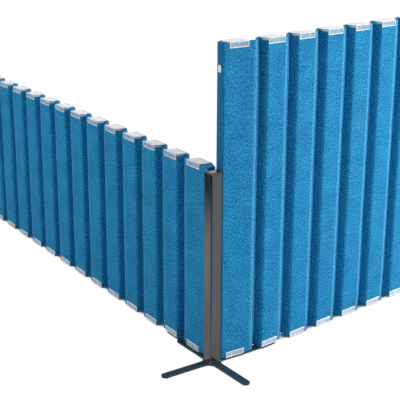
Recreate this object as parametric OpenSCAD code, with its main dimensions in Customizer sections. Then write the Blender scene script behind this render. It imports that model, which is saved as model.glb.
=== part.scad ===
// Accordion folding partition: a post on a four-armed foot with two pleated felt walls.
// Millimetres, +Z up. Origin: centre of the post on the floor.
// The high wall leaves the post along +X, the low wall along +Y; both fronts face the -X -Y corner.
// A wall is drawn in its own frame: s runs away from the post, d goes back from the front plane.

/* [Walls] */
// height of the high wall
high_h = 1219; // [900:1:1830]
// height of the low wall
low_h = 765; // [600:1:1200]
// pleats of the high wall
high_n = 7; // [2:1:8]
// pleats of the low wall
low_n = 13; // [2:1:14]
// front plane of the high wall (y)
high_front = -15.5; // [-24:0.5:-4]
// front plane of the low wall (x)
low_front = -5; // [-24:0.5:-4]
// gap between the post and a wall's end face
wall_gap = 6.5; // [3:0.5:12]
// plain length before the first clip of the high wall
high_lead = 23.1; // [20:0.2:60]
// plain length before the first clip of the low wall
low_lead = 53.6; // [20:0.1:60]
// length of the first high pleat, end face to far corner
high_first = 145.4; // [130:0.1:180]
// length of the first low pleat, end face to far corner
low_first = 153.9; // [130:0.1:180]
// first groove of the high wall, far corner to valley
high_groove = 31.65; // [28:0.05:50]
// first groove of the low wall, far corner to valley
low_groove = 45.2; // [28:0.1:50]
// how far the high wall turns back at its first groove, degrees
bend = 7.8; // [0:0.1:15]

/* [Pleats] */
// pitch of the pleats
pitch = 157.5; // [140:0.5:180]
// width of a front face
face_w = 101.5; // [90:0.5:110]
// thickness of the felt
felt_t = 9; // [6:0.5:12]
// depth of a groove, front plane to valley
valley_d = 41; // [30:0.5:45]
// how far a valley lies before the next near corner
undercut = 10; // [0:0.5:16]
// radius of the near corner
near_r = 4.5; // [2:0.5:4.5]
// play round a fold line
fold_gap = 0.3; // [0.2:0.05:0.6]
// length of the solid strip at a far end
end_strip = 28; // [20:1:40]
// length of the last pleat
last_w = 120; // [115:1:140]
// depth of the high wall's end face
high_end_d = 44.4; // [36:0.2:50]
// depth of the low wall's end face
low_end_d = 36; // [30:0.5:50]

/* [Clips] */
// width of a clip
clip_w = 83; // [70:0.5:90]
// near corner of a pleat to its clip
clip_inset = 3; // [2:0.5:8]
// thickness of the top plate
plate_t = 2.6; // [2:0.1:4]
// height of the front lip
lip_h = 23; // [15:0.5:30]
// thickness of the front lip at its rim
rim_t = 2.4; // [2:0.1:4]
// thickness of the lip's sunk panel
panel_t = 1.3; // [1:0.1:2]
// width of the rim
rim_w = 3.6; // [2:0.1:6]
// height of the inner lip
inner_h = 20; // [10:0.5:28]
// thickness of the inner lip
inner_t = 2; // [1.5:0.1:3]
// how far the plate's sides lean toward the post
lean = 12; // [6:0.5:16]

/* [Post and foot] */
// width of the square post
post_w = 48; // [40:0.5:60]
// wall of the post
post_wall = 2; // [1.5:0.1:4]
// outer corner radius of the post
post_r = 3; // [2.5:0.1:6]
// height of the post's top above the floor
post_top = 756; // [600:1:1200]
// thickness of the post's closed top
cap_t = 3; // [2:0.5:6]
// how far the collar at the post's foot stands out
collar_out = 2.5; // [1:0.5:3.5]
// height of the collar
collar_h = 3; // [2:0.5:6]
// how far post and foot are turned against the walls, degrees
post_turn = 1.4; // [0:0.1:2]
// reach of an arm from the post's centre
arm_reach = 227; // [180:1:320]
// width of an arm
arm_w = 32; // [30:0.5:50]
// thickness of the foot plate
foot_t = 6; // [5:0.5:10]
// fillet between two arms
arm_fillet = 27; // [5:0.5:32]
// height of the plug in the post
plug_h = 32; // [20:1:60]
// play between plug and post
plug_gap = 0.05; // [0.05:0.05:0.2]
// space between the foot plate and the walls over it
foot_clear = 1; // [1:0.5:4]
// shank radius of a foot screw
screw_r = 3; // [2.5:0.5:4]
// head radius of a foot screw
head_r = 5.6; // [5:0.1:7]
// length of a foot screw
screw_l = 24; // [16:1:30]
// screws from the centre, along x and y
screw_at = 12; // [9:0.5:14]

/* [Studs] */
// width of a stud's oval flange
stud_w = 20; // [14:0.5:26]
// height of the flange
stud_tall = 28; // [22:0.5:36]
// thickness of a flange
stud_t = 3; // [2:0.5:5]
// radius of a stud's nub
nub_r = 5; // [4:0.1:8]
// length of the nub that is left free
nub_l = 4; // [3:0.5:8]
// how far the other nubs reach past the post's wall
nub_past = 2; // [1:0.5:5]
// play between nub and hole
nub_gap = 0.2; // [0.1:0.05:0.4]
// lowest stud above the floor
stud_low = 103; // [60:1:200]
// second stud above the floor
stud_mid = 666; // [400:1:700]
// highest stud, below the top of the high wall
stud_top = 96; // [60:1:200]
// studs of the high wall, behind its front plane
high_stud_d = 27.5; // [18:0.5:30]
// studs of the low wall, behind its front plane
low_stud_d = 16; // [14:0.5:24]

/* [Hidden] */
depth = valley_d + felt_t;
e0 = post_w / 2 + wall_gap;
turn = atan2(valley_d, pitch - undercut - face_w);
fold_s = face_w - felt_t * tan(turn / 2);
near_a = atan2(valley_d, -undercut);
near_n = [sin(near_a), -cos(near_a)];
corner_k = 1 / tan(near_a / 2);
raise = foot_t + foot_clear;
high_c1 = e0 + high_lead - clip_inset;
low_c1 = e0 + low_lead - clip_inset;
high_v = e0 + high_first + high_groove;
low_v = e0 + low_first + low_groove;
post_studs = [stud_low, stud_mid];
link_l = wall_gap + post_wall + nub_past;
// how far the nose of a front face goes round its fold line
nose_a = 10;
// where the nose in a valley ends
valley_a = 209;

felt = [0.13, 0.49, 0.70];
felt_web = [0.08, 0.36, 0.55];
clear_plastic = [0.78, 0.82, 0.86];
post_grey = [0.33, 0.35, 0.36];
foot_black = [0.10, 0.13, 0.17];
screw_steel = [0.60, 0.61, 0.62];
stud_white = [0.94, 0.94, 0.93];

function bottom(k) = k < 3 ? raise : 0;
function fold_bottom(k) = k < 3 ? raise : 0;
function dir(a) = [cos(a), sin(a)];

// places drawn in a wall's own frame
module on_high() {
    translate([0, high_front, 0])
        children();
}

module on_low() {
    mirror([1, -1, 0])
        translate([0, low_front, 0])
            children();
}

// near corner of pleat k of the high wall, past its bend
module high_at(k) {
    on_high()
        translate([high_v, valley_d, 0])
            rotate([0, 0, bend])
                translate([undercut + pitch * (k - 2), -valley_d, 0])
                    children();
}

module low_at(k) {
    on_low()
        translate([low_v + undercut + pitch * (k - 2), 0, 0])
            children();
}

// flat shapes
module wedge(a, b) {
    polygon([[0, 0], 40 * dir(a), 60 * dir((a + b) / 2), 40 * dir(b)]);
}

module valley_nose() {
    translate([-undercut, valley_d])
        difference() {
            circle(felt_t);
            wedge(valley_a, 290);
        }
}

module fold_nose() {
    translate([fold_s, felt_t])
        difference() {
            circle(felt_t);
            wedge(nose_a, 185);
        }
}

// near side and front face, from the valley to s = w
module channel(w) {
    polygon([
        [-undercut, valley_d],
        near_r * corner_k * dir(near_a),
        [near_r * corner_k, 0],
        [w, 0],
        [w, felt_t],
        [felt_t * corner_k, felt_t],
        [-undercut, valley_d] + felt_t * near_n]);
    translate([near_r * corner_k, near_r])
        circle(near_r);
    valley_nose();
}

// slanted felt from a far corner at s = w to a valley at s = v
module slant(w, v) {
    a = atan2(valley_d, v - w);
    n = felt_t * [-sin(a), cos(a)];
    f = [w - felt_t * tan(a / 2), felt_t];
    polygon([f - n, [v, valley_d], [v, valley_d] + n, f]);
}

module web_shape() {
    v = pitch - undercut;
    difference() {
        slant(face_w, v);
        translate([fold_s, felt_t])
            circle(felt_t + fold_gap);
        translate([v, valley_d])
            circle(felt_t + fold_gap);
    }
}

// first pleat: solid strip at the post, front face, far corner and slanted felt in one
module first_shape(c, first, v, end_d) {
    w = e0 + first;
    a = atan2(valley_d, v - w);
    f = w - felt_t * tan(a / 2);
    polygon([
        [e0, 0],
        [f, 0],
        [f, felt_t],
        [c + felt_t * corner_k, felt_t],
        [c + (felt_t - near_n[1] * depth) / near_n[0], depth],
        [e0, end_d]]);
    translate([f, felt_t])
        difference() {
            circle(felt_t);
            wedge(a - 20, 185);
        }
    difference() {
        slant(w, v);
        translate([v, valley_d])
            circle(felt_t + fold_gap);
    }
}

module last_shape() {
    channel(last_w);
    polygon([
        [last_w - end_strip, 0],
        [last_w, 0],
        [last_w, high_end_d],
        [last_w - end_strip, depth]]);
}

module pleat(k, n, h) {
    color(felt)
        translate([0, 0, bottom(k) + plate_t])
            linear_extrude(h - bottom(k) - 2 * plate_t) {
                if (k == n) {
                    last_shape();
                } else {
                    channel(fold_s);
                    fold_nose();
                }
            }
}

module web(k, h) {
    color(felt_web)
        translate([0, 0, fold_bottom(k) + plate_t])
            linear_extrude(h - fold_bottom(k) - 2 * plate_t)
                web_shape();
}

// a clip drawn as the bottom one: plate on z = 0, lips going up
module clip() {
    k = clip_inset;
    back = depth - rim_t;
    inner = felt_t + plug_gap;
    color(clear_plastic)
        union() {
            linear_extrude(plate_t)
                polygon([
                    [k, -rim_t],
                    [k + clip_w, -rim_t],
                    [k + clip_w - lean, back],
                    [k - lean, back]]);
            translate([k, -panel_t, 0])
                cube([clip_w, panel_t, lip_h - rim_w + 0.5]);
            translate([k, -rim_t, 0])
                cube([rim_w, rim_t, lip_h]);
            translate([k + clip_w - rim_w, -rim_t, 0])
                cube([rim_w, rim_t, lip_h]);
            translate([k, -rim_t, lip_h - rim_w])
                cube([clip_w, rim_t, rim_w]);
            linear_extrude(inner_h)
                polygon([
                    [inner * corner_k, inner],
                    [k + clip_w - 6, inner],
                    [k + clip_w - 6, inner + inner_t],
                    [(inner + inner_t) * corner_k, inner + inner_t],
                    inner_at(inner + inner_t),
                    inner_at(inner)]);
        }
}

// point behind the near side at offset o, a little before the valley
function inner_at(o) =
    let (d = valley_d - 3)
    [(o - near_n[1] * d) / near_n[0], d];

// the lips lie on the felt, the plates on its cut edges
module clip_pair(z, h) {
    translate([0, 0, z])
        clip();
    translate([0, 0, h])
        mirror([0, 0, 1])
            clip();
}

module stud_oval() {
    side = (stud_tall - stud_w) / 2;
    square([2 * side, stud_w], center = true);
    for (x = [-side, side])
        translate([x, 0])
            circle(d = stud_w);
}

// a stud lies along -s from the end face, flange sunk flush
module stud(l) {
    color(stud_white)
        rotate([0, -90, 0])
            union() {
                translate([0, 0, -stud_t])
                    linear_extrude(stud_t)
                        stud_oval();
                cylinder(h = l, r = nub_r);
            }
}

module stud_pocket() {
    rotate([0, 90, 0])
        translate([0, 0, -1])
            linear_extrude(stud_t + 1)
                stud_oval();
}

module high_stud_places(heights) {
    for (z = heights)
        on_high()
            translate([e0, high_stud_d, z])
                children();
}

module low_stud_places(heights) {
    for (z = heights)
        on_low()
            translate([e0, low_stud_d, z])
                children();
}

module wall_studs() {
    high_stud_places(post_studs)
        stud(link_l);
    high_stud_places([high_h - stud_top])
        stud(nub_l);
    low_stud_places(post_studs)
        stud(link_l);
}

module first_pleat(c, first, v, end_d, h) {
    color(felt)
        translate([0, 0, raise + plate_t])
            linear_extrude(h - raise - 2 * plate_t)
                first_shape(c, first, v, end_d);
}

module high_panel_1() {
    difference() {
        on_high()
            first_pleat(high_c1, high_first, high_v, high_end_d, high_h);
        high_stud_places(concat(post_studs, [high_h - stud_top]))
            stud_pocket();
    }
}

module low_panel_1() {
    difference() {
        on_low()
            first_pleat(low_c1, low_first, low_v, low_end_d, low_h);
        low_stud_places(post_studs)
            stud_pocket();
    }
}

module post_end_clips() {
    on_high()
        translate([high_c1, 0, 0])
            clip_pair(raise, high_h);
    on_low()
        translate([low_c1, 0, 0])
            clip_pair(raise, low_h);
}

// rounded square on the origin
module square_bar(w, r) {
    square([w - 2 * r, w], center = true);
    square([w, w - 2 * r], center = true);
    for (x = [-1, 1])
        for (y = [-1, 1])
            translate([x, y] * (w / 2 - r))
                circle(r);
}

module post() {
    color(post_grey)
        difference() {
            rotate([0, 0, post_turn])
                translate([0, 0, foot_t])
                    union() {
                        linear_extrude(post_top - foot_t)
                            square_bar(post_w, post_r);
                        linear_extrude(collar_h)
                            square_bar(post_w + 2 * collar_out, post_r + collar_out);
                    }
            rotate([0, 0, post_turn])
                translate([0, 0, foot_t - 1])
                    linear_extrude(post_top - foot_t - cap_t + 1)
                        square_bar(post_w - 2 * post_wall, post_r - post_wall);
            for (z = post_studs) {
                translate([0, high_front + high_stud_d, z])
                    rotate([0, 90, 0])
                        cylinder(h = post_w, r = nub_r + nub_gap);
                translate([low_front + low_stud_d, 0, z])
                    rotate([-90, 0, 0])
                        cylinder(h = post_w, r = nub_r + nub_gap);
            }
        }
}

// corner fill between two arms, in the +x +y quarter
module arm_corner() {
    difference() {
        square(arm_w / 2 + arm_fillet);
        translate([1, 1] * (arm_w / 2 + arm_fillet))
            circle(arm_fillet);
    }
}

module arm_pair() {
    square([2 * arm_reach - arm_w, arm_w], center = true);
    for (x = [-1, 1])
        translate([x * (arm_reach - arm_w / 2), 0])
            circle(d = arm_w);
}

module screw_places() {
    for (x = [-1, 1])
        rotate([0, 0, post_turn])
            translate([x * screw_at, x * screw_at, 0])
                children();
}

module head_cone(r) {
    cylinder(h = r - screw_r, r1 = r, r2 = screw_r);
}

module base_plate() {
    color(foot_black)
        difference() {
            rotate([0, 0, post_turn])
                linear_extrude(foot_t) {
                    arm_pair();
                    rotate(90)
                        arm_pair();
                    for (a = [0:90:270])
                        rotate(a)
                            arm_corner();
                }
            screw_places() {
                translate([0, 0, -1])
                    cylinder(h = foot_t + 2, r = screw_r + 0.3);
                translate([0, 0, 0.5])
                    head_cone(head_r + 0.3);
                translate([0, 0, -1])
                    cylinder(h = 1.5, r = head_r + 0.3);
            }
        }
}

module foot_plug() {
    w = post_w - 2 * post_wall - 2 * plug_gap;
    color(screw_steel)
        difference() {
            rotate([0, 0, post_turn])
                translate([0, 0, foot_t])
                    linear_extrude(plug_h)
                        square_bar(w, post_r - post_wall);
            screw_places()
                translate([0, 0, foot_t - 1])
                    cylinder(h = screw_l - foot_t + 3, r = screw_r + 0.05);
        }
}

module base_screws() {
    color(screw_steel)
        screw_places()
            difference() {
                translate([0, 0, 0.5])
                    union() {
                        head_cone(head_r);
                        cylinder(h = screw_l, r = screw_r);
                    }
                cylinder(h = 2.5, r = 2, $fn = 6);
            }
}

post();
base_plate();
foot_plug();
base_screws();
wall_studs();
post_end_clips();
high_panel_1();
low_panel_1();
for (k = [2:high_n]) {
    high_at(k) pleat(k, high_n, high_h);
    high_at(k) clip_pair(bottom(k), high_h);
}
for (k = [2:high_n - 1])
    high_at(k) web(k, high_h);
for (k = [2:low_n]) {
    low_at(k) pleat(k, low_n, low_h);
    low_at(k) clip_pair(bottom(k), low_h);
}
for (k = [2:low_n - 1])
    low_at(k) web(k, low_h);
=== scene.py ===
import math
import random

import bmesh
import bpy
from mathutils import Matrix, Vector


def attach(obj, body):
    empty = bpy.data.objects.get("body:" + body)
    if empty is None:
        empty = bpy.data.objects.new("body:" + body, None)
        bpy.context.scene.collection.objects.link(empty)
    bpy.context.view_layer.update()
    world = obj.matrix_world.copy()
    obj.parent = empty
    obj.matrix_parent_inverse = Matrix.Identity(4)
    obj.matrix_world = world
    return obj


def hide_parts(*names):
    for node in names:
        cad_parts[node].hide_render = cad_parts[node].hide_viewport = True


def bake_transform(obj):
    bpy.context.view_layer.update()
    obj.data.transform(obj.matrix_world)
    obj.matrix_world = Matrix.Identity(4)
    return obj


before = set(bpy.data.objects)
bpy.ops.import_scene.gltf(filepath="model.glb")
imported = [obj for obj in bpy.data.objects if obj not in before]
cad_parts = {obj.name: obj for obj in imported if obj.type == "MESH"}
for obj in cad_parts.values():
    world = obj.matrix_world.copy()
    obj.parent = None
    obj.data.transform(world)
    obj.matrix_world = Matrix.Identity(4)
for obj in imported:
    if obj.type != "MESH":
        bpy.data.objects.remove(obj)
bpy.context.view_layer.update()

random.seed(11)
scene = bpy.context.scene
mm = 0.001

# ---------------------------------------------------------------- camera

# place of the lens in metres, and where it looks: turned from +Y toward +X, then down, then tilted
EYE = Vector((-2.0041, -2.9308, 1.7927))
HEADING = math.radians(33.594)
DOWN = math.radians(17.872)
ROLL = math.radians(0.213)
LENS, SENSOR = 92.66, 36
# the level direction from the object back toward the camera
CAMERA_SIDE = Vector((-math.sin(HEADING), -math.cos(HEADING), 0))


def add_camera():
    look = Vector((math.sin(HEADING) * math.cos(DOWN), math.cos(HEADING) * math.cos(DOWN), -math.sin(DOWN)))
    level = Vector((math.cos(HEADING), -math.sin(HEADING), 0))
    upright = level.cross(look)
    right = level * math.cos(ROLL) + upright * math.sin(ROLL)
    up = upright * math.cos(ROLL) - level * math.sin(ROLL)
    camera = bpy.data.objects.new("camera", bpy.data.cameras.new("camera"))
    camera.data.lens = LENS
    camera.data.sensor_width = SENSOR
    camera.data.clip_start = 0.1
    camera.data.clip_end = 60
    camera.matrix_world = Matrix((
        (right.x, up.x, -look.x, EYE.x),
        (right.y, up.y, -look.y, EYE.y),
        (right.z, up.z, -look.z, EYE.z),
        (0, 0, 0, 1)))
    scene.collection.objects.link(camera)
    scene.camera = camera


add_camera()
scene.view_settings.view_transform = "Standard"


# ---------------------------------------------------------------- materials

# the values that a noise mostly keeps between
NOISE_LOW, NOISE_HIGH = 0.3, 0.7


class Value:
    """What a node gives. A sum or a product of numbers adds a Math node."""

    def __init__(self, finish, socket):
        self.finish = finish
        self.socket = socket

    def __add__(self, other):
        return self.finish.math("ADD", self, other)

    __radd__ = __add__

    def __mul__(self, other):
        return self.finish.math("MULTIPLY", self, other)

    __rmul__ = __mul__


class Finish:
    """A material in the making."""

    def __init__(self, name):
        self.material = bpy.data.materials.new(name)
        self.material.use_nodes = True
        self.tree = self.material.node_tree
        self.tree.nodes.clear()

    def put(self, socket, value):
        if isinstance(value, Value):
            self.tree.links.new(value.socket, socket)
        else:
            socket.default_value = value

    def node(self, kind, settings=None, inputs=None, output=0):
        """Any node: its type, its settings or a ramp's stops, its sockets' values or links, its output."""
        made = self.tree.nodes.new(kind)
        for key, value in (settings or {}).items():
            if key == "stops":
                elements = made.color_ramp.elements
                while len(elements) < len(value):
                    elements.new(0.5)
                for element, (at, colour) in zip(elements, value):
                    element.position = at
                    element.color = colour
            else:
                setattr(made, key, value)
        for key, value in (inputs or {}).items():
            self.put(made.inputs[key], value)
        return Value(self, made.outputs[output]) if len(made.outputs) else None

    def math(self, operation, a, b):
        return self.node("ShaderNodeMath", {"operation": operation}, {0: a, 1: b})

    def at_least(self, value, floor):
        return self.math("MAXIMUM", value, floor)

    def vector_math(self, operation, a, b, output="Value"):
        return self.node("ShaderNodeVectorMath", {"operation": operation}, {0: a, 1: b}, output)

    def scaled(self, vector, factors):
        return self.vector_math("MULTIPLY", vector, factors, "Vector")

    def noise(self, vector, scale, detail=2.0, roughness=0.5):
        return self.node("ShaderNodeTexNoise", {"noise_dimensions": "3D"},
                         {"Vector": vector, "Scale": scale, "Detail": detail, "Roughness": roughness})

    def ramp(self, value, *stops):
        return self.node("ShaderNodeValToRGB", {"stops": stops}, {"Fac": value})

    def smooth(self, value, low, high, to_low=0.0, to_high=1.0):
        """A soft step between low and high, from to_low to to_high."""
        return self.node("ShaderNodeMapRange", {"interpolation_type": "SMOOTHSTEP", "clamp": True},
                         {"Value": value, "From Min": low, "From Max": high,
                          "To Min": to_low, "To Max": to_high})

    def drift(self, noise, low, high):
        """A value that goes from low to high with a noise."""
        return self.smooth(noise, NOISE_LOW, NOISE_HIGH, low, high)

    def drift_colour(self, noise, low, high):
        return self.ramp(noise, (NOISE_LOW, low), (NOISE_HIGH, high))

    def mix(self, factor, a, b):
        """Two colours. The Mix node's sockets for them are inputs 6 and 7 and output 2."""
        return self.node("ShaderNodeMix", {"data_type": "RGBA"}, {0: factor, 6: a, 7: b}, 2)

    def place(self):
        return self.node("ShaderNodeTexCoord", output="Object")

    def sheet_place(self):
        return self.node("ShaderNodeUVMap", {"uv_map": "sheet"})

    def painted(self, name):
        """What the mesh itself says at a point."""
        return self.node("ShaderNodeAttribute", {"attribute_name": name}, output="Fac")

    def part(self, vector, axis):
        return self.node("ShaderNodeSeparateXYZ", inputs={0: vector}, output=axis)

    def bump(self, height, strength, distance):
        return self.node("ShaderNodeBump", {},
                         {"Height": height, "Strength": strength, "Distance": distance})

    def seen_by(self, *rays):
        """1 for these kinds of rays, 0 for the others."""
        seen = self.node("ShaderNodeLightPath", output=rays[0])
        for ray in rays[1:]:
            seen = self.at_least(seen, self.node("ShaderNodeLightPath", output=ray))
        return seen

    def surface(self, **inputs):
        shader = self.node("ShaderNodeBsdfPrincipled", {},
                           {key.replace("_", " "): value for key, value in inputs.items()}, "BSDF")
        self.node("ShaderNodeOutputMaterial", {}, {"Surface": shader})
        return self.material


def rgb(code):
    """A colour as it looks on screen, such as 2f94cf, in linear light."""
    parts = [int(code[i:i + 2], 16) / 255 for i in (0, 2, 4)]
    return tuple(p / 12.92 if p <= 0.04045 else ((p + 0.055) / 1.055) ** 2.4 for p in parts) + (1.0,)


def felt_finish():
    """Felt pressed from dark and light blue fibres, with painted highlight along a pressed line, painted
    shade past it.
    """
    f = Finish("heathered_felt")
    p = f.sheet_place()
    grain = f.noise(p, 170, 3, 0.65)
    fibres = f.noise(f.scaled(p, (900, 420, 900)), 1, 2, 0.6)
    clouds = f.noise(p, 14, 2)
    colour = f.ramp(grain * 0.76 + fibres * 0.12 + clouds * 0.12,
                    (0.36, rgb("054e80")), (0.46, rgb("0e72a6")),
                    (0.54, rgb("208ec1")), (0.64, rgb("45a9d6")))
    # painted highlight along the pressed lines, broken up by the grain, and painted shade past them and on a
    # strip's end
    crease = f.painted("crease")
    highlight_grain = f.smooth(grain, 0.38, 0.6, 0.25, 0.85)
    colour = f.mix(f.at_least(crease, 0.0) * highlight_grain, colour, rgb("6cbce3"))
    colour = f.mix(f.at_least(crease * -1.0, 0.0) * 0.6, colour, rgb("0e5888"))
    return f.surface(
        Base_Color=colour,
        Roughness=f.drift(fibres, 0.85, 0.98),
        Specular_IOR_Level=0.12,
        Sheen_Weight=0.08, Sheen_Roughness=0.5, Sheen_Tint=(0.5, 0.8, 1.0, 1),
        Normal=f.bump(grain * 0.6 + fibres * 0.4, 0.5, 0.0014))


def clip_finish():
    """Frosted plastic, white on its rims, with painted shade where the light runs along it."""
    f = Finish("frosted_clip")
    mist = f.noise(f.place(), 60, 2)
    rim = f.painted("rim")
    panel = f.drift_colour(mist, (0.53, 0.74, 0.90, 1), (0.61, 0.80, 0.94, 1))
    colour = f.mix(rim, panel, (0.93, 0.96, 0.99, 1))
    # the dark colour mixed in is painted shade on the plate's upright sides and a top plate's border
    return f.surface(
        Base_Color=f.mix(f.painted("side_on") * 0.8, colour, (0.09, 0.19, 0.25, 1)),
        Roughness=f.drift(mist, 0.2, 0.32),
        Alpha=f.drift(mist, 0.34, 0.46) + rim * 0.5,
        IOR=1.5)


def post_finish():
    """Glossy dark lacquer on a tube whose edges shade as rounded."""
    f = Finish("dark_lacquer")
    flow = f.noise(f.scaled(f.place(), (1, 1, 0.2)), 40, 2)
    return f.surface(
        Base_Color=f.drift_colour(flow, rgb("16181b"), rgb("1b1e22")),
        Roughness=f.drift(flow, 0.1, 0.15),
        IOR=1.97,
        Specular_Tint=(0.86, 0.95, 1.0, 1),
        Normal=f.node("ShaderNodeBevel", {"samples": 6}, {"Radius": 7.5 * mm}))


def foot_finish():
    f = Finish("blue_black_coat")
    grain = f.noise(f.place(), 900, 2)
    return f.surface(
        Base_Color=f.ramp(grain, (0.35, rgb("192f3a")), (0.65, rgb("213945"))),
        Roughness=f.drift(grain, 0.38, 0.5),
        Normal=f.bump(grain, 0.15, 0.0004))


def stud_finish():
    f = Finish("white_stud")
    mist = f.noise(f.place(), 120, 2)
    return f.surface(
        Base_Color=f.drift_colour(mist, (0.92, 0.92, 0.92, 1), (0.97, 0.97, 0.97, 1)),
        Roughness=f.drift(mist, 0.3, 0.4))


def steel_finish():
    f = Finish("zinc_steel")
    grain = f.noise(f.scaled(f.place(), (1, 1, 6)), 150, 2)
    return f.surface(
        Base_Color=f.drift_colour(grain, (0.5, 0.51, 0.52, 1), (0.62, 0.63, 0.64, 1)),
        Roughness=f.drift(grain, 0.3, 0.45),
        Metallic=0.9)


felt = felt_finish()
frosted_clip = clip_finish()
dark_lacquer = post_finish()
blue_black = foot_finish()
white_stud = stud_finish()
zinc_steel = steel_finish()


def dress(obj, material):
    obj.data.materials.clear()
    obj.data.materials.append(material)


def add_piece(mesh, material, sharp_from):
    """A smooth object of its own, with edges sharper than sharp_from degrees kept."""
    mesh.shade_smooth()
    mesh.set_sharp_from_angle(angle=math.radians(sharp_from))
    obj = bpy.data.objects.new(mesh.name, mesh)
    scene.collection.objects.link(obj)
    dress(obj, material)
    return obj


# ---------------------------------------------------------------- felt

# sizes of the sheet, in millimetres, as in the construction: length of a pleat and of its front face,
# thickness of the felt, depth of a groove, and how far the near side runs back under the face
PITCH, FACE, THICK, VALLEY, UNDERCUT = 157.5, 101.5, 9.0, 41.0, 10.0
DEPTH = VALLEY + THICK
# how far along the wall the slanted felt runs from a far corner to the valley
SLANT = PITCH - UNDERCUT - FACE
# thickness of a clip's plate, how high the pleats over the foot stand, and where the first pleat starts
PLATE, RAISE, END = 2.6, 7.0, 30.5
# each wall, seen in its own plan with s along it and d back from its fronts. n: pleats. top: height.
# front: where the fronts lie. first: length of the first pleat. groove: run of the first slanted felt.
# bend: how far the wall is turned back past it. clip: where the first clips start. end_d: depth of the
# strip at the post. band, first_band: run and depth of the far corners' band. line: strength of the
# painted highlight on the pressed line.
WALLS = {
    "high": dict(n=7, top=1219.0, front=-15.5, first=145.4, groove=31.65, bend=math.radians(7.8),
                 clip=50.6, end_d=44.4, band=(16.0, 5.6), first_band=(12.0, 4.0), line=1.0),
    "low": dict(n=13, top=765.0, front=-5.0, first=153.9, groove=45.2, bend=0.0,
                clip=81.1, end_d=36.0, band=(5.0, 1.2), first_band=(5.0, 1.2), line=0.4)}
ROOT = "post_and_first_pleats"

# front and back radius of the folds: near corner between the clips, the same away from them, valley
NEAR_CORNER, SOFT_CORNER, VALLEY_FOLD = (5.0, 1.5), (13.0, 4.5), (1.5, 10.2)
# the pressed line beside a far corner: from the corner, and half the width of its painted highlight
CREASE_AT, HIGHLIGHT_HALF_W = 3.5, 2.6
# past that line the far corner is a flat band: its run and depth between the clips, and the radii of
# the bends at the line, at the band's end and where it meets the slanted felt
CRISP_BAND, BAND_RADII = (3.0, 0.5), ((12.0, 4.0), (9.0, 3.0), (2.0, 12.0))
# the painted shade on the band past the pressed line: where it comes in, how long it fades out, and
# the least painted highlight that still counts as the line
FOLD_SHADE_IN, FOLD_SHADE_OUT, LINE_ENDS = (2, 6), 8, 0.3
# where a panel's felt ends on the slanted felt, and where the band meets it, as shares of its length
SEAM, MEET = 0.78, 0.5
# quads along each straight piece of a sheet, and along each fold's arc
FIRST_LEGS, FOLD_LEGS, FACE_LEGS, BAND_LEGS, ARC_STEPS = 9, (2, 3), (3, 10), (2, 2, 3), 7
# how far before its valley and how far past it a fold's two blend points lie
BEND_BEFORE, BEND_PAST = 9, 11
# where a panel's two blend points lie: the first from its hinge, the second from its far corner
BEND_FROM, BEND_TO = (-6, 3), (12, 8)
# the height at which those points are given, in metres
BLEND_Z = 0.4

# the solid strips at a wall's two ends: how far in the first one starts, and the rounding of corners
RECESS, END_ROUND = 0.6, 3.0
# from the first clip's start: where the strip's front and back are at full depth, and the sheet starts
STRIP_FRONT, STRIP_BACK, FIRST_SHEET = 3, -6, 9
# from the last near corner: where the sheet ends, the strip is at full depth and it ends, and its depth
# there
SHEET_END, LAST_FULL, LAST_END, LAST_END_D = 90, 94, 120, 44.4
# between them a strip's back drops to the sheet: front point, back point, depth of the back point
FIRST_DROP = ((5.5, -2.9, DEPTH - 1.5), (6.5, -2.6, DEPTH - 3.5), (8, 7.1, THICK + 1))
LAST_RISE = ((91, 91.6, THICK + 1), (92.5, 91.8, DEPTH - 3), (94, 94, DEPTH - 0.6))
# quads along a solid strip
STRIP_LEG = 3

# the cut edges' rounding: height, and how far the faces step back; and the height between levels
CUT_EDGE = ((0, 1.3), (0.45, 0.45), (1.5, 0))
LEVEL_STEP = 60
# how far from a cut edge the clips keep the sheet crisp, and where it hangs free
CRISP_TO, FREE_FROM = 20, 80
# the felt's slight waves: how far they stand out, and their lengths up and along it for each radian
WAVES, FULL_TURN = ((0.35, 97, math.inf), (0.3, 41, 23), (0.2, 160, 9)), 6.28
# how much further on the pattern the next piece starts, in millimetres, and a piece's back, in metres
PIECE_STEP, BACK_AT = 400, 2.5
# edges sharper than this many degrees stay sharp
FELT_SHARP, CLIP_SHARP = 48, 38


def share(value, low, high):
    """0 at low, 1 at high and even between them."""
    return min(1, max(0, (value - low) / (high - low)))


def along(a, b, part):
    return (a[0] + (b[0] - a[0]) * part, a[1] + (b[1] - a[1]) * part)


def step(p, angle, distance):
    return (p[0] + distance * math.cos(angle), p[1] + distance * math.sin(angle))


def to_frame(wall, s, d, bent):
    """A point of a wall's own plan, in metres in the shared frame."""
    w = WALLS[wall]
    valley = END + w["first"] + w["groove"]
    if bent:
        x, y = s - valley, d - VALLEY
        c, n = math.cos(w["bend"]), math.sin(w["bend"])
        s, d = valley + x * c - y * n, VALLEY + x * n + y * c
    d += w["front"]
    return (s * mm, d * mm) if wall == "high" else (d * mm, s * mm)


def blend_point(wall, s, d):
    return (*to_frame(wall, s, d, True), BLEND_Z)


def near_corner(wall, k):
    """Where pleat k's near front corner lies along its wall."""
    w = WALLS[wall]
    return END + w["first"] + w["groove"] + UNDERCUT + PITCH * (k - 2)


def floor_of(k):
    """How high pleat k, or the fold after it, stands: the first two pleats clear the foot."""
    return RAISE if k < 3 else 0.0


def arc(centre, radius, start, end):
    return [step(centre, start + (end - start) * i / ARC_STEPS, radius) for i in range(ARC_STEPS + 1)]


def offset_meet(p, a, b, left):
    """Where the two legs of a corner at p meet, once both are shifted to the left."""
    turn = b - a
    return (p[0] - left * math.sin(a) - left * math.tan(turn / 2) * math.cos(a),
            p[1] + left * math.cos(a) - left * math.tan(turn / 2) * math.sin(a))


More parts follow.
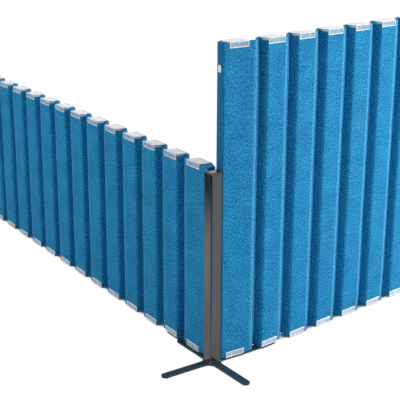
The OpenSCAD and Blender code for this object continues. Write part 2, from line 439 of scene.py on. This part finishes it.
def bent_strip(points, radii, quads):
    """Pairs of front and back points along a sheet that follows points, with its back on the left.

    radii holds the front and the back radius of each corner, and quads the number of quads on each
    straight piece."""
    angles = [math.atan2(q[1] - p[1], q[0] - p[0]) for p, q in zip(points, points[1:])]

    def shifted(p, angle):
        return (p[0] - THICK * math.sin(angle), p[1] + THICK * math.cos(angle))

    # a leg is the two ends of a straight piece, with its front and its back apart
    legs_front, legs_back = [[points[0]]], [[shifted(points[0], angles[0])]]
    arcs = []
    for p, a, b, (front_r, back_r) in zip(points[1:], angles, angles[1:], radii):
        b = a + (b - a + math.pi) % (2 * math.pi) - math.pi
        hand = 1 if b > a else -1
        centre_front = offset_meet(p, a, b, hand * front_r)
        centre_back = offset_meet(p, a, b, THICK + hand * back_r)
        start, end = a - hand * math.pi / 2, b - hand * math.pi / 2
        arc_front, arc_back = arc(centre_front, front_r, start, end), arc(centre_back, back_r, start, end)
        legs_front[-1].append(arc_front[0])
        legs_back[-1].append(arc_back[0])
        legs_front.append([arc_front[-1]])
        legs_back.append([arc_back[-1]])
        arcs.append(list(zip(arc_front, arc_back)))
    legs_front[-1].append(points[-1])
    legs_back[-1].append(shifted(points[-1], angles[-1]))

    pairs = [(points[0], legs_back[0][0])]
    for i, (leg_front, leg_back, steps) in enumerate(zip(legs_front, legs_back, quads)):
        for j in range(1, steps + 1):
            pairs.append((along(*leg_front, j / steps), along(*leg_back, j / steps)))
        if i < len(arcs):
            pairs += arcs[i][1:]
    return pairs


def rounded_end(s, way, depth, degrees):
    """Pairs round the corners of a solid strip that ends at s and goes on in the direction way."""
    r = END_ROUND
    pairs = []
    for t in map(math.radians, degrees):
        at = s + way * (r - r * math.cos(t))
        pairs.append(((at, r - r * math.sin(t)), (at, depth - r + r * math.sin(t))))
    return pairs


def between(start, end, steps):
    """The pairs after start, evenly on to end."""
    return [(along(start[0], end[0], i / steps), along(start[1], end[1], i / steps))
            for i in range(1, steps + 1)]


def far_corner(edge, valley, band):
    """Points of the sheet past a far corner's pressed line, down to the seam."""
    return [(edge[0] - CREASE_AT, 0.0), (edge[0] + band[0], band[1]),
            along(edge, valley, MEET), along(edge, valley, SEAM)]


def fold_light_and_shade(past, wall):
    """Painted highlight (above 0) or painted shade on a face's felt at a distance past its pressed line."""
    w = WALLS[wall]
    line = math.exp(-(past / HIGHLIGHT_HALF_W) ** 2)
    if line > LINE_ENDS:
        return line * w["line"]
    end = CREASE_AT + w["band"][0] + FOLD_SHADE_OUT
    return -share(past, *FOLD_SHADE_IN) * share(end - past, 0, FOLD_SHADE_OUT)


def levels_between(bottom, top):
    """The heights that a sheet's points lie at, each with how far its faces step back there."""
    inner = round((top - bottom) / LEVEL_STEP)
    return ([(bottom + z, cut) for z, cut in CUT_EDGE]
            + [(bottom + (top - bottom) * j / inner, 0) for j in range(1, inner)]
            + [(top - z, cut) for z, cut in reversed(CUT_EDGE)])


def sheet_faces(levels, n):
    """Quads round a sheet of n pairs of points on each level: front, back, both ends, both cut edges."""
    def at(level, i, back):
        return (level * n + i) * 2 + back

    faces = []
    last = levels - 1
    for j in range(last):
        for i in range(n - 1):
            faces.append((at(j, i, 0), at(j, i + 1, 0), at(j + 1, i + 1, 0), at(j + 1, i, 0)))
            faces.append((at(j, i + 1, 1), at(j, i, 1), at(j + 1, i, 1), at(j + 1, i + 1, 1)))
        faces.append((at(j, 0, 1), at(j, 0, 0), at(j + 1, 0, 0), at(j + 1, 0, 1)))
        faces.append((at(j, n - 1, 0), at(j, n - 1, 1), at(j + 1, n - 1, 1), at(j + 1, n - 1, 0)))
    for i in range(n - 1):
        faces.append((at(0, i + 1, 0), at(0, i, 0), at(0, i, 1), at(0, i + 1, 1)))
        faces.append((at(last, i, 0), at(last, i + 1, 0), at(last, i + 1, 1), at(last, i, 1)))
    return faces


def lay_pattern(mesh, uvs, n):
    """The felt's pattern: uvs on the front and the back, and on the edges as far on as they are thick."""
    layer = mesh.uv_layers.new(name="sheet")
    for loop in mesh.loops:
        layer.data[loop.index].uv = uvs[loop.vertex_index]
    for face in mesh.polygons:
        if len({v % 2 for v in face.vertices}) == 1:
            continue
        on_cut_edge = len({v // (2 * n) for v in face.vertices}) == 1
        for index in face.loop_indices:
            v = mesh.loops[index].vertex_index
            front = v - v % 2
            u, up = uvs[front]
            thick = (mesh.vertices[v].co - mesh.vertices[front].co).length
            layer.data[index].uv = (u, up + thick) if on_cut_edge else (u + thick, up)


def felt_piece(name, wall, bottom, pairs, soft, start_u, bent, solid=0, fold=None):
    """A length of the felt sheet, upright between its clips' plates, in millimetres.

    bottom is where its clips stand. pairs are its points between the clips, which keep the corners
    crisp, and soft the same ones away from them. The first `solid` pairs are a solid strip, which
    doesn't bow. A face's pressed line lies at s = fold."""
    top = WALLS[wall]["top"] - PLATE
    bottom += PLATE
    lengths = [0]
    for (p, _), (q, _) in zip(soft, soft[1:]):
        lengths.append(lengths[-1] + math.dist(p, q))
    # one turn is drawn for each wave and one is spare
    turns = [random.uniform(0, FULL_TURN) for _ in range(4)]
    levels = levels_between(bottom, top)
    verts, uvs, painted_lights = [], [], []
    for z, cut in levels:
        freed = share(min(z - bottom, top - z), CRISP_TO, FREE_FROM)
        for i, (crisp, loose) in enumerate(zip(pairs, soft)):
            f, b = along(crisp[0], loose[0], freed), along(crisp[1], loose[1], freed)
            across = math.dist(f, b)
            inward = ((b[0] - f[0]) / across, (b[1] - f[1]) / across)
            calm = 0 if i < solid else freed * math.sin(math.pi * lengths[i] / lengths[-1]) ** 0.5
            bow = calm * sum(out * math.sin(z / rise + lengths[i] / run + turn)
                             for (out, rise, run), turn in zip(WAVES, turns))
            for point, way, shift in ((f, 1, 0.0), (b, -1, BACK_AT)):
                x, y = to_frame(wall, point[0] + inward[0] * (bow + way * cut),
                                point[1] + inward[1] * (bow + way * cut), bent)
                verts.append((x, y, z * mm))
                uvs.append(((start_u + lengths[i]) * mm, z * mm + shift))
                # painted shade on a solid strip's end, and painted highlight and shade past a face's pressed
                # line
                if i < min(solid, 2):
                    painted_lights.append(-1.0)
                else:
                    painted_lights.append(fold_light_and_shade(f[0] - fold, wall) if fold is not None and way == 1 else 0.0)
    faces = sheet_faces(len(levels), len(pairs))
    if wall == "low":
        faces = [tuple(reversed(face)) for face in faces]
    mesh = bpy.data.meshes.new(name)
    mesh.from_pydata(verts, [], faces)
    mesh.attributes.new("crease", "FLOAT", "POINT").data.foreach_set("value", painted_lights)
    lay_pattern(mesh, uvs, len(pairs))
    piece = add_piece(mesh, felt, FELT_SHARP)
    return piece


def add_first_pleat(wall):
    """The pleat at the post: solid strip, face, far corner and most of the slanted felt."""
    w = WALLS[wall]
    clip, far = w["clip"], END + w["first"]
    valley = (far + w["groove"], VALLEY)
    strip = rounded_end(END + RECESS, 1, w["end_d"], (0, 30, 60, 90))
    strip += between(strip[-1], ((clip + STRIP_FRONT, 0), (clip + STRIP_BACK, DEPTH)), STRIP_LEG)
    strip += [((clip + front, 0), (clip + back, depth)) for front, back, depth in FIRST_DROP]
    crisp, soft = (strip + bent_strip([(clip + FIRST_SHEET, 0)] + far_corner((far, 0), valley, band),
                                      BAND_RADII, (FIRST_LEGS,) + BAND_LEGS)
                   for band in (CRISP_BAND, w["first_band"]))
    piece = felt_piece(f"{wall}_felt_1", wall, floor_of(1), crisp, soft, 0.0, False,
                       solid=len(strip) + 1, fold=far - CREASE_AT)
    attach(piece, ROOT)
    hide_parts(f"{wall}_panel_1")


def add_fold(wall, k):
    """The felt of the valley between pleats k and k + 1: end of the slanted felt, half the near side."""
    w = WALLS[wall]
    corner = (near_corner(wall, k + 1), 0.0)
    apex = (corner[0] - UNDERCUT, VALLEY)
    # the first groove has its own width, and its slanted felt isn't turned with the wall
    run, turned = (w["groove"], w["bend"]) if k == 1 else (SLANT, 0.0)
    slant = math.atan2(VALLEY, run) - turned
    near_side_way = math.atan2(-VALLEY, UNDERCUT)
    start = step(apex, slant, -math.hypot(VALLEY, run) * (1 - SEAM))
    pairs = bent_strip([start, apex, along(apex, corner, 0.5)], [VALLEY_FOLD], FOLD_LEGS)
    piece = felt_piece(f"{wall}_fold_felt_{k}", wall, floor_of(k), pairs, pairs,
                       PIECE_STEP * (2 * k - 1), True)
    blend_point(wall, *step(apex, slant, -BEND_BEFORE))
    blend_point(wall, *step(apex, near_side_way, BEND_PAST))
    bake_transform(piece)
    if k > 1:
        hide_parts(f"{wall}_fold_{k}")


def add_pleat(wall, k):
    """A pleat along the wall: half its near side, face, far corner and most of the slanted felt."""
    w = WALLS[wall]
    near = near_corner(wall, k)
    corner, edge = (near, 0.0), (near + FACE, 0.0)
    apex, valley = (near - UNDERCUT, VALLEY), (near + PITCH - UNDERCUT, VALLEY)
    crisp, soft = (bent_strip([along(apex, corner, 0.5), corner] + far_corner(edge, valley, band),
                              (radii,) + BAND_RADII, FACE_LEGS + BAND_LEGS)
                   for radii, band in ((NEAR_CORNER, CRISP_BAND), (SOFT_CORNER, w["band"])))
    piece = felt_piece(f"{wall}_felt_{k}", wall, floor_of(k), crisp, soft,
                       PIECE_STEP * (2 * k - 2), True, fold=edge[0] - CREASE_AT)
    hinge = edge[0] - THICK * math.tan(math.atan2(VALLEY, SLANT) / 2)
    blend_point(wall, hinge + BEND_FROM[0], BEND_FROM[1])
    blend_point(wall, edge[0] + BEND_TO[0], BEND_TO[1])
    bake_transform(piece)
    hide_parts(f"{wall}_panel_{k}")


def add_last_pleat(wall):
    """The pleat at the wall's free end: half its near side, face and solid strip."""
    n = WALLS[wall]["n"]
    s = near_corner(wall, n)
    corner, apex = (s, 0.0), (s - UNDERCUT, VALLEY)
    strip = [((s + front, 0), (s + back, depth)) for front, back, depth in LAST_RISE]
    round_from = s + LAST_END - END_ROUND
    strip += between(((s + LAST_FULL, 0), (s + LAST_FULL, DEPTH)),
                     ((round_from, 0), (round_from, LAST_END_D)), STRIP_LEG)
    strip += rounded_end(s + LAST_END, -1, LAST_END_D, (60, 30, 0))
    crisp, soft = (bent_strip([along(apex, corner, 0.5), corner, (s + SHEET_END, 0)], [radii], FACE_LEGS)
                   + strip for radii in (NEAR_CORNER, SOFT_CORNER))
    piece = felt_piece(f"{wall}_felt_{n}", wall, floor_of(n), crisp, soft, PIECE_STEP * (2 * n - 2), True)
    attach(piece, f"{wall}_pleat_{n}")
    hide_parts(f"{wall}_panel_{n}")


for wall, w in WALLS.items():
    add_first_pleat(wall)
    for k in range(1, w["n"]):
        add_fold(wall, k)
        if k + 1 < w["n"]:
            add_pleat(wall, k + 1)
        else:
            add_last_pleat(wall)

# ---------------------------------------------------------------- clips

# a clip's length, where it starts past the near corner, and how far its plate's back edge is shifted
CLIP_W, CLIP_INSET, LEAN = 83.0, 3.0, 12.0
# the front lip: height, thickness and width of its rim, thickness of its sunk panel
LIP_H, RIM_T, RIM_W, PANEL_T = 23.0, 2.4, 3.6, 1.3
# the rim's slope down to the panel starts and ends this far from the rim's width
RIM_SLOPE = (-0.4, 0.5)
# how wide the rim's own edge is eased, and a line of points on the way
EASE, EASE_MID = 0.6, 0.25
# two low ribs along the sunk panel: height of their middle, half their width, how far they stand out,
# and the width of their slopes
RIBS, RIB_W, RIB_T, RIB_SLOPE = (9.4, 14.6), 1.1, 0.5, 0.5
# the inner lip: height, thickness, where it starts in the plate, how much shorter it is than the
# clip, and how far back it goes along the near side
INNER_H, INNER_T, INNER_FOOT, INNER_SHORT, INNER_END = 20.0, 2.0, 0.6, 6, VALLEY - 3
# the rounding of the moulding's edges, and the room between it and the felt
ROUND, ROOM = 0.45, 0.12
# the plate's front edge, and how far it stays inside the lip's ends
PLATE_FRONT, PLATE_IN = -RIM_T + 0.7, 0.3
# the turned-in rim along the near side: height, thickness, how far back it goes, front, start in the plate
SIDE_RIM_H, SIDE_RIM_T, SIDE_RIM_D, SIDE_FRONT, SIDE_FOOT = 9.0, 0.9, 26.0, -RIM_T + 1.0, 0.2
# the plate's shoulder out to that rim: how far past the rim it runs, how far it laps the plate, its start
SHOULDER, LAP, NEAR_LAP, SHOULDER_FOOT = 8, 3, 0.5, 0.02
# the border of painted shade round a top plate's outer face, and its width along the back edge
BORDER, BACK_BORDER = 1.4, 5.0
# how white a moulding is: top plates, the rest, and a bottom clip's panel, whose extra whiteness is painted
# light
WHITE, CLEAR, LIT_BOTTOM_PANEL = 0.9, 0.1, 0.35
# how far past the plate its own sides, which get painted shade, and its whiteness reach
SIDES_REACH, WHITE_REACH = 0.1, 1
# how far off z = 0 a face on it may be, and how much an upright face's normal may rise
FLAT, UPRIGHT = 0.01, 0.5
NEAR_ANGLE = math.atan2(VALLEY, -UNDERCUT)
NEAR_OUT = (math.sin(NEAR_ANGLE), -math.cos(NEAR_ANGLE))
CORNER_K = 1 / math.tan(NEAR_ANGLE / 2)


def near_side(offset, d):
    """A point of the near side's plan line, shifted back by offset."""
    return ((offset - NEAR_OUT[1] * d) / NEAR_OUT[0], d)


def prism(bm, outline, low, high):
    """An upright prism with softened edges."""
    base = [bm.verts.new((s, d, low)) for s, d in outline]
    lid = [bm.verts.new((s, d, high)) for s, d in outline]
    faces = [bm.faces.new(base), bm.faces.new(lid)]
    for i in range(len(base)):
        j = (i + 1) % len(base)
        faces.append(bm.faces.new((base[i], base[j], lid[j], lid[i])))
    edges = list(dict.fromkeys(e for face in faces for e in face.edges))
    bmesh.ops.bevel(bm, geom=edges, offset=ROUND, segments=2, profile=0.6, affect="EDGES")


def rim_share(x, length):
    """1 on the rim, 0 on the sunk panel."""
    from_end = min(x, length - x)
    return share(RIM_W + RIM_SLOPE[1] - from_end, 0, RIM_SLOPE[1] - RIM_SLOPE[0])


def lip_thickness(a, b):
    """How thick the front lip is, a along it and b up."""
    rib = max(share(RIB_W - abs(b - at), 0, RIB_SLOPE) for at in RIBS)
    rim = max(rim_share(a, CLIP_W), rim_share(b, LIP_H))
    edge = min(a, CLIP_W - a, b, LIP_H - b)
    return min(PANEL_T + max((RIM_T - PANEL_T) * rim, RIB_T * rib), RIM_T - EASE + min(edge, EASE))


def front_lip(bm, rim_layer, panel):
    """The front lip as a relief: a rim round a sunk panel, as white as panel says, with two ribs."""
    ends = [0, EASE_MID, EASE, RIM_W + RIM_SLOPE[0], RIM_W + RIM_SLOPE[1]]
    along_s = ends + [CLIP_W / 2] + [CLIP_W - x for x in reversed(ends)]
    ribs = [at + x for at in RIBS for x in (-RIB_W, -RIB_W + RIB_SLOPE, RIB_W - RIB_SLOPE, RIB_W)]
    along_z = ends + ribs + [LIP_H - x for x in reversed(ends)]
    rows = []
    for b in along_z:
        rows.append([])
        for a in along_s:
            front = bm.verts.new((CLIP_INSET + a, -lip_thickness(a, b), b))
            front[rim_layer] = max(rim_share(a, CLIP_W), rim_share(b, LIP_H), panel)
            rows[-1].append((front, bm.verts.new((CLIP_INSET + a, -ROOM, b))))
    last_row, last = len(along_z) - 1, len(along_s) - 1
    for j in range(last_row):
        for i in range(last):
            for side in (0, 1):
                bm.faces.new([rows[y][x][side] for y, x in ((j, i), (j, i + 1), (j + 1, i + 1), (j + 1, i))])
    for i in range(last):
        for j in (0, last_row):
            bm.faces.new((rows[j][i][0], rows[j][i + 1][0], rows[j][i + 1][1], rows[j][i][1]))
    for j in range(last_row):
        for i in (0, last):
            bm.faces.new((rows[j][i][0], rows[j + 1][i][0], rows[j + 1][i][1], rows[j][i][1]))


def plate_border(bm):
    """A ring of faces for painted shade round the plate's outer face, wider along its back edge."""
    flat = [face for face in bm.faces if max(v.co.z for v in face.verts) < FLAT]
    outer = max(flat, key=lambda face: face.calc_area())
    ring = bmesh.ops.inset_individual(bm, faces=[outer], thickness=BORDER)["faces"]
    for v in outer.verts:
        if v.co.y > DEPTH / 2:
            v.co.y -= BACK_BORDER - BORDER
    return ring


def moulding(top):
    """One clip, drawn as the bottom one: s along the wall, d back, plate on z = 0.

    A top clip is whiter than a bottom one, and has a rim along its near side and a border of painted shade."""
    bm = bmesh.new()
    rim_layer = bm.verts.layers.float.new("rim")
    start, end, back = CLIP_INSET, CLIP_INSET + CLIP_W, DEPTH - RIM_T
    # the plate on the felt's cut edge
    prism(bm, [(start + PLATE_IN, PLATE_FRONT), (end - PLATE_IN, PLATE_FRONT),
               (end - LEAN, back), (start - LEAN, back)], 0, PLATE - ROOM)
    border = plate_border(bm) if top else []
    # the inner lip, along the back of the face and of the near side
    inner, outer = THICK + ROOM, THICK + ROOM + INNER_T
    prism(bm, [(inner * CORNER_K, inner), (end - INNER_SHORT, inner), (end - INNER_SHORT, outer),
               (outer * CORNER_K, outer), near_side(outer, INNER_END), near_side(inner, INNER_END)],
          INNER_FOOT, INNER_H)
    # the rim along the near side, and the plate's shoulder out to it
    rim_inside, rim_outside = -ROOM, -ROOM - SIDE_RIM_T
    if top:
        prism(bm, [near_side(rim_inside, SIDE_FRONT), near_side(rim_inside, SIDE_RIM_D),
                   near_side(rim_outside, SIDE_RIM_D), near_side(rim_outside, SIDE_FRONT)],
              SIDE_FOOT, SIDE_RIM_H)
    prism(bm, [near_side(rim_outside, SIDE_FRONT), (start + LAP, SIDE_FRONT),
               (start, SIDE_RIM_D + SHOULDER), near_side(NEAR_LAP, SIDE_RIM_D + SHOULDER),
               near_side(rim_outside, SIDE_RIM_D)], SHOULDER_FOOT, PLATE - ROOM)
    bm.normal_update()
    # painted shade on the plate's upright sides and on a top plate's border
    edge_shade_layer = bm.loops.layers.float.new("side_on")
    for face in bm.faces:
        on_plate = max(v.co.z for v in face.verts) < PLATE + SIDES_REACH
        if face in border or on_plate and abs(face.normal.z) < UPRIGHT:
            for loop in face.loops:
                loop[edge_shade_layer] = 1.0
    for v in bm.verts:
        v[rim_layer] = WHITE if top and v.co.z <= PLATE + WHITE_REACH else CLEAR
    front_lip(bm, rim_layer, 0.0 if top else LIT_BOTTOM_PANEL)
    return bm


def add_clips(name, places, node, body):
    """One piece for a node's clips. A place is a wall, a near corner along it, whether it is past
    the bend, the clip's height, and 1 for a bottom clip or -1 for a top one."""
    whole = bmesh.new()
    for wall, start, bent, height, way in places:
        bm = moulding(way < 0)
        for v in bm.verts:
            x, y = to_frame(wall, start + v.co.x, v.co.y, bent)
            v.co = (x, y, (height + way * v.co.z) * mm)
        bmesh.ops.recalc_face_normals(bm, faces=bm.faces)
        part = bpy.data.meshes.new("part")
        bm.to_mesh(part)
        bm.free()
        whole.from_mesh(part)
        bpy.data.meshes.remove(part)
    mesh = bpy.data.meshes.new(name)
    whole.to_mesh(mesh)
    whole.free()
    piece = add_piece(mesh, frosted_clip, CLIP_SHARP)
    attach(piece, body)
    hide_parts(node)


add_clips("post_end_mouldings",
          [(wall, w["clip"], False, height, way) for wall, w in WALLS.items()
           for height, way in ((RAISE, 1), (w["top"], -1))],
          "post_end_clips", ROOT)
for wall, w in WALLS.items():
    for k in range(2, w["n"] + 1):
        start = near_corner(wall, k)
        add_clips(f"{wall}_mouldings_{k}",
                  [(wall, start, True, floor_of(k), 1), (wall, start, True, w["top"], -1)],
                  f"{wall}_clips_{k}", f"{wall}_pleat_{k}")

# ---------------------------------------------------------------- CAD pieces that show

for node, material in (("post", dark_lacquer), ("base_plate", blue_black), ("wall_studs", white_stud),
                       ("foot_plug", zinc_steel), ("base_screws", zinc_steel)):
    dress(scene.objects[node], material)

# ---------------------------------------------------------------- floor, air and lights

# the white paper in reflections: its middle, where it fades and what it gives, in metres
PAPER_AT, PAPER_NEAR, PAPER_FAR = (0.55, -0.45, 0), 2.0, 3.1
PAPER, PAST_PAPER = 0.92, 0.08
# the place beside the low wall that lies in its shadow: its middle, where it fades and what is left
SHADE_AT, SHADE_FROM, SHADE_TO, SHADED = (-0.15, 0.2, 0), 0.1, 0.8, 0.76
# the paper is dark toward the camera: where that is full and where it starts, what is left, and how
# much its edge turns
DARK_FULL, DARK_FROM, DARKENED, DARK_TURN = -0.45, -0.12, 0.05, 0.36
# how near the felt must be to shade the floor that the lens sees, in metres, how open the air is where
# that fades, and the shade's colour
POCKET, POCKET_FADE, POCKET_COLOUR = 0.08, (0.3, 0.55), rgb("0b3a58")
# the room's light in reflections, the soft box overhead and the backdrop past the object, each with the
# cosines between which it changes
ROOM_LIGHT, BEHIND_CAMERA, BEHIND_FADE = 0.36, 0.1, (0.35, 0.85)
SOFT_BOX, OVERHEAD_FADE = 0.85, (0.7, 0.95)
BACKDROP, AHEAD_FADE = 0.9, (-0.6, -0.1)
WHITE_PAINT, WHITE_LIGHT = (0.8, 0.8, 0.8, 1), (1, 1, 1, 1)
FLOOR_HALF, FLOOR_Z = 9, -0.001


class Air(Finish):
    """The world's own nodes, made in the same way."""

    def __init__(self, world):
        self.tree = world.node_tree
        self.tree.nodes.clear()


def backdrop_finish():
    """White wherever the lens looks, but for a painted shadow where the felt closes it in, and plain white
    paint for the light that falls on it.
    """
    f = Finish("white_floor")
    place = f.scaled(f.place(), (1, 1, 0))
    reach = f.vector_math("DISTANCE", place, PAPER_AT)
    shade = f.vector_math("DISTANCE", place, SHADE_AT)
    # what metal and glass show: the paper, and past its end the dark room
    paper = (f.smooth(reach, PAPER_NEAR, PAPER_FAR, PAPER, PAST_PAPER)
             * f.smooth(shade, SHADE_FROM, SHADE_TO, SHADED, 1))
    east, north = f.part(place, 0), f.part(place, 1)
    past_post = f.at_least(east + north * DARK_TURN, north + east)
    paper = paper * f.smooth(past_post, DARK_FULL, DARK_FROM, DARKENED, 1)
    # the floor that the lens sees is shaded only where the felt closes it in
    open_air = f.node("ShaderNodeAmbientOcclusion", {"samples": 16}, {"Distance": POCKET}, "AO")
    paint = f.node("ShaderNodeBsdfDiffuse", {}, {"Color": WHITE_PAINT}, "BSDF")
    colour = f.mix(f.smooth(open_air, *POCKET_FADE), POCKET_COLOUR, WHITE_LIGHT)
    lit = f.scaled(colour, f.at_least(paper, f.seen_by("Is Camera Ray")))
    glow = f.node("ShaderNodeEmission", {}, {"Color": lit}, "Emission")
    looks = f.seen_by("Is Camera Ray", "Is Glossy Ray", "Is Transmission Ray")
    both = f.node("ShaderNodeMixShader", {}, {0: looks, 1: paint, 2: glow}, "Shader")
    f.node("ShaderNodeOutputMaterial", {}, {"Surface": both})
    return f.material


def add_floor():
    r, z = FLOOR_HALF, FLOOR_Z
    floor = bpy.data.objects.new("floor", bpy.data.meshes.new("floor"))
    floor.data.from_pydata([(-r, -r, z), (r, -r, z), (r, r, z), (-r, r, z)], [], [(0, 1, 2, 3)])
    scene.collection.objects.link(floor)
    dress(floor, backdrop_finish())


def add_air():
    """A plain room, white to the lens."""
    scene.world = bpy.data.worlds.new("studio")
    scene.world.use_nodes = True
    air = Air(scene.world)
    way = air.node("ShaderNodeTexCoord", output="Generated")
    # the room is darkest where the camera stands
    behind = air.vector_math("DOT_PRODUCT", way, CAMERA_SIDE)
    room = air.smooth(behind, *BEHIND_FADE, ROOM_LIGHT, BEHIND_CAMERA)
    # and lightest overhead, where a wide soft box hangs
    room = room + air.smooth(air.part(way, 2), *OVERHEAD_FADE, 0, SOFT_BOX)
    # what metal and glass show past the object is the white backdrop
    past_object = air.smooth(behind, *AHEAD_FADE, BACKDROP, 0)
    room = air.at_least(room, air.seen_by("Is Glossy Ray", "Is Transmission Ray") * past_object)
    glow = air.node("ShaderNodeBackground", {},
                    {"Color": WHITE_LIGHT, "Strength": air.at_least(room, air.seen_by("Is Camera Ray"))},
                    "Background")
    air.node("ShaderNodeOutputWorld", {}, {"Surface": glow})


def lamp(name, at, aim, size, power):
    light = bpy.data.lights.new(name, "AREA")
    light.shape = "RECTANGLE"
    light.size, light.size_y = size
    light.energy = power
    obj = bpy.data.objects.new(name, light)
    obj.location = at
    obj.rotation_euler = (Vector(aim) - Vector(at)).to_track_quat("-Z", "Y").to_euler()
    scene.collection.objects.link(obj)


add_floor()
add_air()
lamp("key", (3.6, -1.35, 2.4), (0.8, 0.1, 0.6), (1.4, 1.4), 150)
lamp("front_fill", (0.25, -2.4, 1.0), (0.4, 0.0, 0.6), (0.8, 1.2), 8)
lamp("left_fill", (-3.6, 1.9, 2.6), (0, 0.7, 0.4), (2.0, 2.0), 61)
